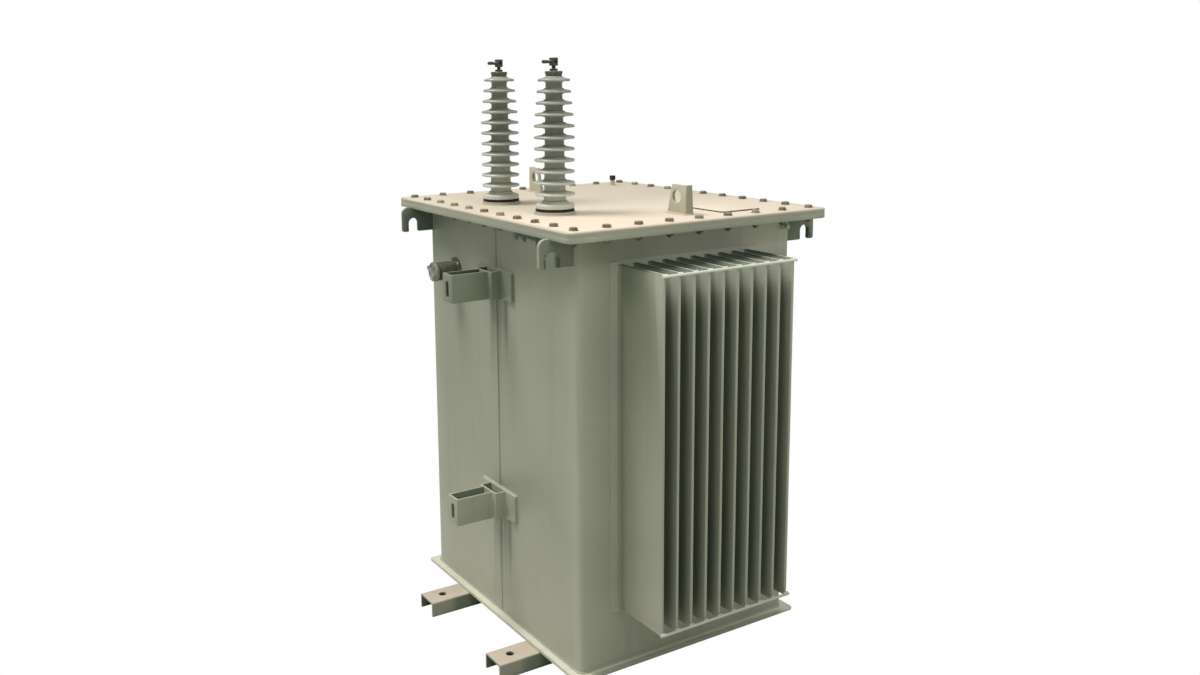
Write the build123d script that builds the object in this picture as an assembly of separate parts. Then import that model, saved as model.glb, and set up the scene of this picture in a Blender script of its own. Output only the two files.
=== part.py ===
"""Pole mounted transformer: a welded oil tank with corrugated cooling fins, a bolted cover with two
high voltage bushings, two hanger brackets for the pole and two channel skids to stand on.

Millimetres. +Z is up and the origin is on the floor under the middle of the tank. The brackets face -Y,
and the fin banks face +X and -X.
"""
from build123d import *
import os

os.makedirs("parts", exist_ok=True)

# Tank, folded from sheet with rounded upright corners
tank_x = 814.0
tank_y = 686.0
tank_height = 1136.0
tank_corner_r = 25.0

# Base plate under the tank
base_overhang = 22.0
base_t = 10.0
base_corner_r = 4.0

# Channel skids, open side down, running along Y
skid_width = 80.0
skid_height = 43.0
skid_web_t = 6.0
skid_flange_t = 6.0
skid_spacing = 405.0
skid_overhang = 121.0
skid_hole_r = 11.0
skid_hole_inset = 52.0

# Bolted joint between the tank and its cover
flange_width = 70.0
flange_t = 10.0
gasket_t = 4.0
gasket_inset = 1.5
gasket_lap = 16.5
cover_t = 8.0
cover_corner_r = 22.0
cover_edge_r = 3.0

# Corner lifting hooks under the flange
hook_inset = 19.0
hook_t = 12.0
hook_reach = 100.0
hook_drop = 72.0
hook_leg = 19.0
hook_notch = 30.0
hook_notch_depth = 40.0
hook_tip_r = 19.0

# Lifting lugs on the cover, their plates on either side of the middle line
lug_inset = 69.0
lug_left_y = -16.0
lug_right_y = 8.0
lug_width = 78.0
lug_height = 77.0
lug_t = 8.0
lug_return = 25.0
lug_hole_r = 17.0
lug_hole_z = 50.0
lug_corner = 14.0

# Cooling fins, one bank on each X face
fin_count = 10
fin_pitch = 45.0
fin_t = 8.0
fin_depth = 175.0
fin_bottom = 148.0
fin_top_drop = 88.0
fin_bank_y = -16.0
fin_edge_r = 3.0
panel_t = 3.0
panel_margin = 32.0
panel_lip = 8.0
bar_r = 3.5
bar_inset = 4.0
bar_overhang = 4.0

# Hanger brackets on the -Y face
bracket_low_rise = 334.0
bracket_high_drop = 183.0
pad_width = 190.0
pad_height = 78.0
pad_t = 8.0
saddle_width = 88.0
saddle_height = 76.0
saddle_reach = 33.0
hanger_width = 54.0
hanger_reach = 108.0
channel_t = 6.0
channel_bend_r = 4.0
hanger_slot_r = 9.0
hanger_slot_above = 17.5
hanger_slot_below = 11.5

# Tap changer on the -Y face
tap_inset = 165.0
tap_drop = 183.0
tap_flange_r = 36.0
tap_flange_t = 5.0
tap_hub_r = 27.0
tap_hub_length = 54.0
tap_bore_r = 7.0
tap_fit = 0.06
tap_gap = 5.0
knob_r = 29.0
knob_t = 12.0
knob_edge_r = 2.5
grip_length = 52.0
grip_width = 9.0
grip_height = 10.0
grip_angle = 20.0
spindle_depth = 40.0

# High voltage bushings on the cover
bushing_spacing = 290.0
bushing_inset = 100.0
seat_r = 54.0
seat_t = 8.0
foot_r = 51.0
foot_gasket_t = 5.0
collar_t = 18.0
collar_edge_r = 4.0
core_bottom_r = 29.0
core_top_r = 21.0
shed_count = 11
shed_first_z = 24.0
shed_last_drop = 6.0
shed_pitch = 29.4
shed_r = 53.0
shed_top_r = 42.0
shed_taper_count = 4
shed_root_t = 11.0
shed_edge_t = 3.6
shed_droop = 4.0
cap_r = 23.0
cap_t = 15.0
stud_r = 5.5
stud_height = 13.0
clamp_x = 20.0
clamp_y = 16.0
clamp_height = 21.0
clamp_wire_r = 4.0
clamp_bolt_r = 4.5
clamp_bolt_reach = 26.0

# Filling neck and its plug
filler_inset_x = 102.0
filler_inset_y = 110.0
filler_neck_r = 7.0
filler_neck_height = 18.0
filler_plug_r = 9.5
filler_plug_t = 14.0

# Flat cover over the hand hole
hand_hole_inset_x = 85.0
hand_hole_inset_y = 158.0
hand_cover_x = 140.0
hand_cover_y = 138.0
hand_cover_t = 4.0
hand_cover_r = 16.0

# Earthing boss on the +X face
earth_inset = 27.0
earth_drop = 27.0
earth_r = 11.0
earth_reach = 22.0

# Levels and positions that follow from the sizes above
base_z = skid_height
tank_z = base_z + base_t
flange_top = tank_z + tank_height
flange_z = flange_top - flange_t
cover_z = flange_top + gasket_t
cover_top = cover_z + cover_t
cover_x = tank_x + 2 * flange_width
cover_y = tank_y + 2 * flange_width
base_x = tank_x + 2 * base_overhang
base_y = tank_y + 2 * base_overhang
wall_x = tank_x / 2
wall_y = tank_y / 2
skid_length = base_y + 2 * skid_overhang
hook_x = wall_x - hook_inset
lug_x = wall_x - lug_inset
fin_z = tank_z + fin_bottom
fin_height = tank_height - fin_bottom - fin_top_drop
fin_span = (fin_count - 1) * fin_pitch
fin_root = wall_x + panel_t
fin_tip = fin_root + fin_depth
bracket_low_z = tank_z + bracket_low_rise
bracket_high_z = flange_top - bracket_high_drop
tap_x = tap_inset - wall_x
tap_z = flange_top - tap_drop
bushing_y = bushing_inset - wall_y
shed_span = (shed_count - 1) * shed_pitch
porcelain_height = shed_first_z + shed_span + shed_last_drop
filler_x = filler_inset_x - cover_x / 2
filler_y = cover_y / 2 - filler_inset_y
hand_hole_x = wall_x - hand_hole_inset_x
hand_hole_y = wall_y - hand_hole_inset_y
earth_y = wall_y - earth_inset


def write(shape, node):
    """Save one piece as its own node."""
    export_step(shape, "parts/" + node + ".step")


def block(x, y, z, at):
    """A box with its middle in X and Y, and its underside, at the given point."""
    px, py, pz = at
    return Pos(px, py, pz) * Box(x, y, z, align=(Align.CENTER, Align.CENTER, Align.MIN))


def rounded_plate(x, y, z, r, bottom):
    """A flat plate with rounded upright corners."""
    return Pos(0, 0, bottom) * extrude(RectangleRounded(x, y, r), z)


def disc(r, z, at):
    """An upright round piece standing on the given point."""
    px, py, pz = at
    return Pos(px, py, pz) * Cylinder(r, z, align=(Align.CENTER, Align.CENTER, Align.MIN))


def side_disc(r, length, x, y_wall, z):
    """A round piece that stands out toward -Y from the plane y_wall."""
    return Pos(x, y_wall - length / 2, z) * Rot(90, 0, 0) * Cylinder(r, length)


# Skids: each channel stands on its two flanges and carries the base plate on its web
def skid(x):
    outer = block(skid_width, skid_length, skid_height, (x, 0, 0))
    room = block(skid_width - 2 * skid_flange_t, skid_length, skid_height - skid_web_t, (x, 0, 0))
    channel = outer - room
    for y in (-1, 1):
        hole_y = y * (skid_length / 2 - skid_hole_inset)
        channel -= disc(skid_hole_r, skid_height, (x, hole_y, 0))
    return channel


write(skid(-skid_spacing / 2), "skid_left")
write(skid(skid_spacing / 2), "skid_right")

# Base plate and tank
write(rounded_plate(base_x, base_y, base_t, base_corner_r, base_z), "base_plate")
tank = rounded_plate(tank_x, tank_y, tank_height, tank_corner_r, tank_z)
write(tank, "tank_body")

# Flange welded round the mouth of the tank, with the gasket and the cover on it
flange = rounded_plate(cover_x, cover_y, flange_t, cover_corner_r, flange_z)
write(flange - tank, "tank_flange")
gasket_x = cover_x - 2 * gasket_inset
gasket_y = cover_y - 2 * gasket_inset
gasket = rounded_plate(gasket_x, gasket_y, gasket_t, cover_corner_r - gasket_inset, flange_top)
mouth_x = tank_x - 2 * gasket_lap
mouth_y = tank_y - 2 * gasket_lap
gasket -= rounded_plate(mouth_x, mouth_y, gasket_t, tank_corner_r, flange_top)
write(gasket, "cover_gasket")
cover = rounded_plate(cover_x, cover_y, cover_t, cover_corner_r, cover_z)
cover = fillet(cover.edges().group_by(Axis.Z)[-1], cover_edge_r)
write(cover, "cover_plate")


# Corner hooks: upright plates welded to the Y faces, with a notch open downward for a sling
def hook(side_x, side_y):
    root = tank_corner_r
    leg_in = hook_reach - hook_leg
    notch_y = leg_in - hook_notch / 2
    notch_z = hook_notch_depth - hook_notch / 2
    plate = Pos((hook_reach - root) / 2, -hook_drop / 2) * Rectangle(hook_reach + root, hook_drop)
    plate -= Pos(notch_y, -hook_drop + notch_z / 2) * Rectangle(hook_notch, notch_z)
    plate -= Pos(notch_y, -hook_drop + notch_z) * Circle(hook_notch / 2)
    tip = plate.vertices().sort_by(Axis.X)[-2:].sort_by(Axis.Y)[-1]
    plate = fillet(tip, hook_tip_r)
    solid = extrude(Plane.YZ * plate, hook_t / 2, both=True)
    if side_y < 0:
        solid = mirror(solid, about=Plane.XZ)
    return Pos(side_x * hook_x, side_y * wall_y, flange_z) * solid - tank


for side_y, end in ((-1, "pole_side"), (1, "far_side")):
    for side_x, hand in ((-1, "left"), (1, "right")):
        write(hook(side_x, side_y), "lifting_hook_" + end + "_" + hand)


# Cover lugs: an upright plate with a shackle hole and a return flange along its outer edge
def cover_lug(side, y):
    face = Pos(0, lug_height / 2) * Rectangle(lug_width, lug_height)
    face = chamfer(face.vertices().group_by(Axis.Y)[-1], lug_corner)
    face -= Pos(0, lug_hole_z) * Circle(lug_hole_r)
    plate = extrude(Plane.XZ * face, -lug_t)
    rib_x = lug_width / 2 - lug_t / 2
    rib = block(lug_t, lug_return, lug_height - lug_corner, (rib_x, lug_return / 2, 0))
    solid = plate + rib
    if side < 0:
        solid = mirror(solid, about=Plane.YZ)
    return Pos(side * lug_x, y, cover_top) * solid


write(cover_lug(-1, lug_left_y), "cover_lug_left")
write(cover_lug(1, lug_right_y), "cover_lug_right")


# Fin banks: thin upright envelopes on a panel let into the wall, tied by bars across their tips
def fin_panel(side):
    width = fin_span + 2 * panel_margin
    height = fin_height + 2 * panel_lip
    at = (side * (wall_x + panel_t / 2), fin_bank_y, fin_z - panel_lip)
    return block(panel_t, width, height, at)


def fin_bank(side):
    fins = []
    for i in range(fin_count):
        y = fin_bank_y - fin_span / 2 + i * fin_pitch
        fin = block(fin_depth, fin_t, fin_height, (side * (fin_root + fin_depth / 2), y, fin_z))
        tip_edges = fin.edges().filter_by(Axis.Z).group_by(Axis.X)[-1 if side > 0 else 0]
        fins.append(fillet(tip_edges, fin_edge_r))
    return Compound(children=fins)


def tip_bars(side):
    length = fin_span + fin_t + 2 * bar_overhang
    bars = []
    for z in (fin_z + bar_inset, fin_z + fin_height - bar_inset):
        rod = Rot(90, 0, 0) * Cylinder(bar_r, length)
        bars.append(Pos(side * (fin_tip + bar_r), fin_bank_y, z) * rod)
    return Compound(children=bars)


for side, hand in ((-1, "left"), (1, "right")):
    write(fin_panel(side), "fin_panel_" + hand)
    write(fin_bank(side), "fins_" + hand)
    write(tip_bars(side), "fin_tip_bars_" + hand)


# Hanger brackets: pad on the wall, a short wide channel on the pad, a long narrow one on that
def channel(width, reach, height, y_back, z):
    front = y_back - reach
    outer = block(width, reach, height, (0, y_back - reach / 2, z - height / 2))
    bends = outer.edges().filter_by(Axis.Z).group_by(Axis.Y)[0]
    outer = fillet(bends, channel_bend_r)
    inner_y = front + channel_t + reach / 2
    return outer - block(width - 2 * channel_t, reach, height, (0, inner_y, z - height / 2))


pad_front = -wall_y - pad_t
saddle_front = pad_front - saddle_reach
for middle, level in ((bracket_low_z, "lower"), (bracket_high_z, "upper")):
    pad = block(pad_width, pad_t, pad_height, (0, -wall_y - pad_t / 2, middle - pad_height / 2))
    write(pad, "bracket_pad_" + level)
    write(channel(saddle_width, saddle_reach, saddle_height, pad_front, middle), "bracket_saddle_" + level)
    hanger = channel(hanger_width, hanger_reach, saddle_height, saddle_front, middle)
    slot_length = saddle_height - hanger_slot_above - hanger_slot_below
    slot = SlotOverall(slot_length, 2 * hanger_slot_r, rotation=90)
    slot_z = middle + (hanger_slot_below - hanger_slot_above) / 2
    slot_y = saddle_front - hanger_reach + channel_t / 2
    hanger -= Pos(0, slot_y, slot_z) * extrude(Plane.XZ * slot, channel_t, both=True)
    write(hanger, "bracket_hanger_" + level)

# Tap changer: a fixed flange and hub, and a knob on a spindle that turns in the hub
hub_front = -wall_y - tap_flange_t - tap_hub_length
housing = side_disc(tap_flange_r, tap_flange_t, tap_x, -wall_y, tap_z)
housing += side_disc(tap_hub_r, tap_hub_length, tap_x, -wall_y - tap_flange_t, tap_z)
bore_depth = spindle_depth + tap_gap
housing -= side_disc(tap_bore_r, bore_depth, tap_x, hub_front + bore_depth, tap_z)
write(housing, "tap_changer_housing")
knob_back = hub_front - tap_gap
knob = side_disc(knob_r, knob_t, tap_x, knob_back, tap_z)
knob = fillet(knob.edges(), knob_edge_r)
knob += side_disc(tap_bore_r - tap_fit, bore_depth, tap_x, hub_front + spindle_depth, tap_z)
grip = Box(grip_length, grip_height, grip_width)
grip = fillet(grip.edges().filter_by(Axis.Y), grip_width / 3)
grip_y = knob_back - knob_t - grip_height / 2
knob += Pos(tap_x, grip_y, tap_z) * Rot(0, grip_angle, 0) * grip
write(knob, "tap_changer_knob")


# High voltage bushings: ribbed porcelain on a raised seat, with a cap and a wire clamp on top
def core_radius(z):
    share = z / porcelain_height
    return core_bottom_r + (core_top_r - core_bottom_r) * share


def shed_radius(i):
    from_top = shed_count - 1 - i
    share = max(0.0, 1 - from_top / shed_taper_count)
    return shed_r + (shed_top_r - shed_r) * share


def porcelain():
    points = [(0, 0), (core_radius(0), 0)]
    for i in range(shed_count):
        z = shed_first_z + i * shed_pitch
        rim = shed_radius(i)
        points.append((core_radius(z - shed_root_t / 2), z - shed_root_t / 2))
        points.append((rim, z - shed_droop - shed_edge_t / 2))
        points.append((rim, z - shed_droop + shed_edge_t / 2))
        points.append((core_radius(z + shed_root_t / 2), z + shed_root_t / 2))
    points.append((core_top_r, porcelain_height))
    points.append((0, porcelain_height))
    outline = make_face(Polyline(*points, close=True))
    return revolve(Plane.XZ * outline, Axis.Z)


def wire_clamp():
    stud = disc(stud_r, stud_height, (0, 0, 0))
    body = block(clamp_x, clamp_y, clamp_height, (0, 0, stud_height))
    wire_z = stud_height + clamp_height / 2
    body -= Pos(0, 0, wire_z) * Rot(0, 90, 0) * Cylinder(clamp_wire_r, clamp_x)
    bolt = side_disc(clamp_bolt_r, clamp_bolt_reach, 0, -clamp_y / 2, wire_z)
    return stud + body + bolt


gasket_z = cover_top + seat_t
foot_z = gasket_z + foot_gasket_t
porcelain_z = foot_z + collar_t
cap_z = porcelain_z + porcelain_height
for side, hand in ((-1, "left"), (1, "right")):
    x = side * bushing_spacing / 2
    write(disc(seat_r, seat_t, (x, bushing_y, cover_top)), "bushing_seat_" + hand)
    write(disc(foot_r, foot_gasket_t, (x, bushing_y, gasket_z)), "bushing_gasket_" + hand)
    collar = disc(foot_r, collar_t, (x, bushing_y, foot_z))
    collar = fillet(collar.edges().group_by(Axis.Z)[-1], collar_edge_r)
    write(collar, "bushing_collar_" + hand)
    write(Pos(x, bushing_y, porcelain_z) * porcelain(), "bushing_porcelain_" + hand)
    write(disc(cap_r, cap_t, (x, bushing_y, cap_z)), "bushing_cap_" + hand)
    write(Pos(x, bushing_y, cap_z + cap_t) * wire_clamp(), "bushing_terminal_" + hand)

# Filling neck with its plug
filler_at = (filler_x, filler_y, cover_top)
write(disc(filler_neck_r, filler_neck_height, filler_at), "filler_neck")
plug_at = (filler_x, filler_y, cover_top + filler_neck_height)
write(disc(filler_plug_r, filler_plug_t, plug_at), "filler_plug")

# Flat plate that closes the hand hole in the cover
hand_cover = rounded_plate(hand_cover_x, hand_cover_y, hand_cover_t, hand_cover_r, cover_top)
write(Pos(hand_hole_x, hand_hole_y, 0) * hand_cover, "hand_hole_cover")

# Earthing boss
boss_length = earth_reach + tank_corner_r
boss = Rot(0, 90, 0) * Cylinder(earth_r, boss_length)
boss_x = wall_x + earth_reach - boss_length / 2
write(Pos(boss_x, earth_y, flange_z - earth_drop) * boss - tank, "earth_boss")
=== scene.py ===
import math

import bmesh
import bpy
from mathutils import Matrix, Vector


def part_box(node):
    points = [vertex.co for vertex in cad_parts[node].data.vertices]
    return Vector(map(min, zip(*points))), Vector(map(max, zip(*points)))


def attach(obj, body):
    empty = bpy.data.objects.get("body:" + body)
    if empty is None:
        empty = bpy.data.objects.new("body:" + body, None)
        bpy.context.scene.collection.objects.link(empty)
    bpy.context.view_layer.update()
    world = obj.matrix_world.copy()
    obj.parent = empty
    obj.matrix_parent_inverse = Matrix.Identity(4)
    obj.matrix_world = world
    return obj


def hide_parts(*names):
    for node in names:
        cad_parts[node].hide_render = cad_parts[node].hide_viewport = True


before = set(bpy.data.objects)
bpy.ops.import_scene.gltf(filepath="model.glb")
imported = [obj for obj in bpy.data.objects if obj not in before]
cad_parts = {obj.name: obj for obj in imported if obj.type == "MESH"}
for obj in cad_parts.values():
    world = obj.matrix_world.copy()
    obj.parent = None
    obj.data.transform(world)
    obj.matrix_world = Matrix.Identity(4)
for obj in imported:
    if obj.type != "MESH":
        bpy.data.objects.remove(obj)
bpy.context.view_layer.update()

# The studio: a pale floor that looks white to the camera under a plain sky, brighter overhead, one
# soft lamp high over the brackets and one over the fin side.
scene = bpy.context.scene
scene.view_settings.view_transform = "Standard"


class Wire:
    """A value in a node tree. Operators add Math nodes, node() adds any other kind, and a name in
    square brackets is another output of the same node.
    """

    def __init__(self, tree, socket=None):
        self.tree = tree
        self.socket = socket

    def feed(self, node, sockets):
        for key, value in sockets.items():
            if isinstance(value, Wire):
                self.tree.links.new(value.socket, node.inputs[key])
            else:
                node.inputs[key].default_value = value

    def node(self, kind, sockets=None, output=0, **settings):
        made = self.tree.nodes.new(kind)
        for key, value in settings.items():
            setattr(made, key, value)
        self.feed(made, sockets or {})
        return Wire(self.tree, made.outputs[output])

    def __getitem__(self, name):
        return Wire(self.tree, self.socket.node.outputs[name])

    def maths(self, operation, first, second=0.0):
        return self.node("ShaderNodeMath", {0: first, 1: second}, operation=operation)

    def __add__(self, other):
        return self.maths("ADD", self, other)

    def __sub__(self, other):
        return self.maths("SUBTRACT", self, other)

    def __rsub__(self, other):
        return self.maths("SUBTRACT", other, self)

    def __mul__(self, other):
        return self.maths("MULTIPLY", self, other)

    __radd__ = __add__
    __rmul__ = __mul__


def fade(value, start, end):
    """0 below start and 1 above end, with a smooth rise between."""
    ends = {"Value": value, "From Min": start, "From Max": end}
    return value.node("ShaderNodeMapRange", ends, interpolation_type="SMOOTHSTEP")


def tint(share, first, second):
    """The first colour where share is 0, and the second where it is 1."""
    return share.node("ShaderNodeMix", {0: share, 6: first, 7: second}, 2, data_type="RGBA")


world = bpy.data.worlds.new("studio_sky")
scene.world = world
world.use_nodes = True
sky = Wire(world.node_tree)
seen = sky.node("ShaderNodeLightPath", output="Is Camera Ray")
toward = sky.node("ShaderNodeSeparateXYZ", {0: sky.node("ShaderNodeTexCoord", output="Generated")}, "Z")
light = tint(fade(toward, 0.0, 1.0), (0.26, 0.25, 0.225, 1), (0.70, 0.84, 0.88, 1))
sky.feed(world.node_tree.nodes["Background"], {"Color": tint(seen, light, (1.0, 1.0, 1.0, 1))})

bpy.ops.mesh.primitive_plane_add(size=60.0)
floor = bpy.context.object
floor.name = "floor"
floor_white = bpy.data.materials.new("floor_white")
floor_white.use_nodes = True
grey = floor_white.node_tree.nodes["Principled BSDF"]
grey.inputs["Base Color"].default_value = (0.57, 0.54, 0.46, 1)
grey.inputs["Roughness"].default_value = 0.9
ground = Wire(floor_white.node_tree)
white = ground.node("ShaderNodeEmission", {"Color": (1.0, 1.0, 1.0, 1), "Strength": 1.0})
seen = ground.node("ShaderNodeLightPath", output="Is Camera Ray")
mixed = ground.node("ShaderNodeMixShader", {0: seen, 1: Wire(ground.tree, grey.outputs[0]), 2: white})
ground.feed(floor_white.node_tree.nodes["Material Output"], {"Surface": mixed})
floor.data.materials.append(floor_white)


def in_scene(name, data):
    """A new object in the scene."""
    made = bpy.data.objects.new(name, data)
    scene.collection.objects.link(made)
    return made


def lamp(name, place, target, width, height, watts, colour):
    """A soft rectangular lamp at a place, turned to face a target."""
    light = bpy.data.lights.new(name, "AREA")
    light.shape = "RECTANGLE"
    light.size = width
    light.size_y = height
    light.energy = watts
    light.color = colour
    holder = in_scene(name, light)
    holder.location = place
    holder.rotation_euler = (Vector(target) - Vector(place)).to_track_quat("-Z", "Y").to_euler()


lamp("ceiling_lamp", (-1.0, -2.1, 4.9), (0.0, -0.1, 0.9), 1.5, 1.5, 165, (1.0, 0.99, 0.98))
lamp("side_lamp", (3.1, -0.4, 4.3), (0.3, -0.1, 0.7), 1.4, 1.4, 60, (1.0, 0.97, 0.92))

# The camera stands at the near right corner, a little above the cover.
camera_turn, camera_dip, camera_roll = math.radians(58.463), math.radians(9.144), math.radians(-0.628)
forward = Vector((
    -math.sin(camera_turn) * math.cos(camera_dip),
    math.cos(camera_turn) * math.cos(camera_dip),
    -math.sin(camera_dip),
))
level = Vector((math.cos(camera_turn), math.sin(camera_turn), 0.0))
right = level * math.cos(camera_roll) + level.cross(forward) * math.sin(camera_roll)
upward = right.cross(forward)
camera_data = bpy.data.cameras.new("camera")
camera_data.sensor_width = 36.0
camera_data.lens = 32.944
camera_data.shift_x = 0.04197
camera_data.shift_y = -0.07181
camera_data.clip_end = 100.0
camera = in_scene("camera", camera_data)
aim = Matrix((right, upward, -forward)).transposed().to_4x4()
camera_place = (2.5769, -1.7535, 1.5618)
camera.matrix_world = Matrix.Translation(camera_place) @ aim
scene.camera = camera


# Skids: two hot rolled channels that lie open side down under the base plate, painted with the
# tank. Each end has one bolt hole.
def clouds(at, scale, detail=3.0, stretch=None, seed=0.0):
    """Soft noise of so many features a metre, drawn out along an axis where it is stretched."""
    if stretch or seed:
        moved = {"Vector": at, "Location": (seed, seed * 0.7, seed * 1.3), "Scale": stretch or (1, 1, 1)}
        at = at.node("ShaderNodeMapping", moved)
    return at.node("ShaderNodeTexNoise", {"Vector": at, "Scale": scale, "Detail": detail})


def new_finish(name):
    """An empty material, its shader and the wire that says where on the object a point is."""
    material = bpy.data.materials.new(name)
    material.use_nodes = True
    tree = material.node_tree
    at = Wire(tree).node("ShaderNodeTexCoord", output="Object")
    return material, tree.nodes["Principled BSDF"], at


def axes(vector):
    """The X, Y and Z of a vector."""
    parts = vector.node("ShaderNodeSeparateXYZ", {0: vector})
    return parts["X"], parts["Y"], parts["Z"]


def facing_of(at):
    """The X, Y and Z of the way a point faces."""
    return axes(at.node("ShaderNodeNewGeometry", output="Normal"))


def size_of(value):
    """The value without its sign."""
    return value.maths("ABSOLUTE", value)


def most(*values):
    """The largest of several values."""
    first, *others = values
    for other in others:
        first = first.maths("MAXIMUM", first, other)
    return first


def fall(value, start, end):
    """1 below start and 0 above end."""
    return 1.0 - fade(value, start, end)


def band(value, rise, drop):
    """1 between a rise and a drop, and 0 on either side. Each is where it starts and where it ends."""
    return fade(value, *rise) * fall(value, *drop)


def bumped(relief):
    """The normal of a surface with this relief, in metres."""
    return relief.node("ShaderNodeBump", {"Strength": 1.0, "Distance": 1.0, "Height": relief})


def paint(name, colour, worn, gloss, dust=0.0, grime=0.0, coat=0.12, dirt_and_shade=None, painted_light=None):
    """Sprayed enamel on sheet steel: orange peel, an uneven film, dust on top, runs, and a paler tint low
    down on the sides, which is splashed dust and painted light bounced up from the floor.

    From a place and the way it faces, dirt_and_shade says how far a dark green tint darkens it, as old
    dirt in some places and painted shade in others, and painted_light how far a pale tint lightens it as
    painted light.
    """
    material, shader, at = new_finish(name)
    place = axes(at)
    facing = facing_of(at)
    upward = fade(facing[2], 0.5, 0.95)
    film = fade(clouds(at, 2.6, 4.0), 0.3, 0.7)
    patch = fade(clouds(at, 6.5, 5.0, seed=3.0), 0.42, 0.72)
    runs = fade(clouds(at, 1.0, 4.0, stretch=(34.0, 34.0, 1.6)), 0.5, 0.78)
    specks = fade(clouds(at, 150.0, 2.0, seed=7.0), 0.7, 0.78)
    base = tint(film, colour, worn)
    # Warm patches here and there: partly tone that differs at random, partly a painted reflection of warm
    # surroundings.
    base = tint(patch * 0.16, base, (colour[0] * 1.1, colour[1] * 1.02, colour[2] * 0.92, 1))
    if dust:
        base = tint(upward * dust, base, (0.69, 0.556, 0.428, 1))
    # Paler low down on the sides: splashed dust, and painted light bounced up from the floor.
    floor_bounce_and_splash = fall(place[2], 0.05, 0.5) * fade(size_of(facing[1]), 0.3, 0.9)
    base = tint(floor_bounce_and_splash * 0.3, base, (0.60, 0.575, 0.465, 1))
    # A pale tint where painted_light asks for it: painted light.
    if painted_light:
        base = tint(painted_light(place, facing), base, (0.62, 0.62, 0.50, 1))
    dirt = runs * grime + specks * 0.25
    base = tint(dirt.node("ShaderNodeClamp", {0: dirt}), base, (0.16, 0.15, 0.115, 1))
    # A dark green tint where dirt_and_shade asks for it: old dirt in some places, painted shade in others.
    if dirt_and_shade:
        base = tint(dirt_and_shade(place, facing), base, (0.050, 0.090, 0.054, 1))
    rough = gloss + clouds(at, 38.0, 4.0, seed=5.0) * 0.14 + runs * 0.06 + upward * dust * 0.3
    dents, peel = clouds(at, 4.0, 2.0) * 0.0016, clouds(at, 380.0, 2.0) * 0.00005
    relief = dents + peel + clouds(at, 1400.0, 1.0) * 0.00001
    at.feed(shader, {"Base Color": base, "Roughness": rough, "Normal": bumped(relief)})
    shader.inputs["Coat Weight"].default_value = coat
    shader.inputs["Coat Roughness"].default_value = 0.3
    return material


def rounded(corners, steps=5):
    """A closed outline whose corners (x, y, radius) are turned with arcs."""
    outline = []
    for i, (x, y, radius) in enumerate(corners):
        corner = Vector((x, y))
        if not radius:
            outline.append(corner)
            continue
        back = (Vector(corners[i - 1][:2]) - corner).normalized()
        ahead = (Vector(corners[(i + 1) % len(corners)][:2]) - corner).normalized()
        half = math.acos(max(-1.0, min(1.0, back.dot(ahead)))) / 2
        centre = corner + (back + ahead).normalized() * radius / math.sin(half)
        first = corner + back * radius / math.tan(half) - centre
        swing = first.angle_signed(corner + ahead * radius / math.tan(half) - centre)
        for k in range(steps + 1):
            outline.append(centre + Matrix.Rotation(-swing * k / steps, 2) @ first)
    return outline


def oblong(left, front, right, back, radius, steps=5):
    """A rectangle with rounded corners that runs left about."""
    corners = [(left, front, radius), (right, front, radius), (right, back, radius), (left, back, radius)]
    return rounded(corners, steps)


def inset(loop, width):
    """The loop moved to its left by width."""
    moved = []
    for i, point in enumerate(loop):
        back = (point - loop[i - 1]).normalized()
        ahead = (loop[(i + 1) % len(loop)] - point).normalized()
        side = Vector((-back.y - ahead.y, back.x + ahead.x)).normalized()
        moved.append(point + side * width / max(0.5, side.dot(Vector((-ahead.y, ahead.x)))))
    return moved


def bridge(bm, rings, capped=False):
    """Faces between each closed ring of vertices and the next, and over both ends where capped."""
    for low, high in zip(rings, rings[1:]):
        for i in range(len(low)):
            j = (i + 1) % len(low)
            bm.faces.new((low[i], low[j], high[j], high[i]))
    if capped:
        bm.faces.new(rings[0])
        bm.faces.new(rings[-1])


def slab(outline, depth, edge, holes=(), steps=2):
    """A plate on z = 0 with eased edges. The outline runs left about, and a hole right about."""
    bm = bmesh.new()
    turns = [math.pi / 2 * k / steps for k in range(steps + 1)]
    sections = [(edge * (1 - math.sin(t)), edge * (1 - math.cos(t))) for t in turns]
    sections += [(gap, depth - z) for gap, z in reversed(sections)]
    first, last = [], []
    for loop in (outline, *holes):
        rings = []
        for gap, z in sections:
            points = inset(loop, gap) if gap > 1e-9 else loop
            rings.append([bm.verts.new((p.x, p.y, z)) for p in points])
        bridge(bm, rings)
        for ring, group in ((rings[0], first), (rings[-1], last)):
            group.extend(bm.edges.get((ring[i - 1], ring[i])) for i in range(len(ring)))
    for edges in (first, last):
        bmesh.ops.triangle_fill(bm, edges=edges, use_beauty=True)
    return bm


def turned(profile, count=40):
    """A solid turned about Z, from its (radius, height) profile, which starts and ends on the axis."""
    bm = bmesh.new()
    rings = []
    for radius, z in profile:
        if radius < 1e-6:
            rings.append([bm.verts.new((0, 0, z))])
            continue
        turns = [2 * math.pi * k / count for k in range(count)]
        rings.append([bm.verts.new((radius * math.cos(t), radius * math.sin(t), z)) for t in turns])
    for low, high in zip(rings, rings[1:]):
        for i in range(count):
            j = (i + 1) % count
            corners = [low[i % len(low)], low[j % len(low)], high[j % len(high)], high[i % len(high)]]
            bm.faces.new(list(dict.fromkeys(corners)))
    return bm


def put(bm, place, across=(1, 0, 0), along=(0, 1, 0)):
    """Move a bmesh so that its X lies across, its Y along, and its origin at the place."""
    x, y = Vector(across), Vector(along)
    bm.transform(Matrix.Translation(place) @ Matrix((x, y, x.cross(y))).transposed().to_4x4())
    return bm


# Where a piece's own X and Y go, so that its Z points to the pole, to the right or down.
to_pole = (1, 0, 0), (0, 0, 1)
to_right = (0, 1, 0), (0, 0, 1)
downward = (1, 0, 0), (0, -1, 0)


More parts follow.
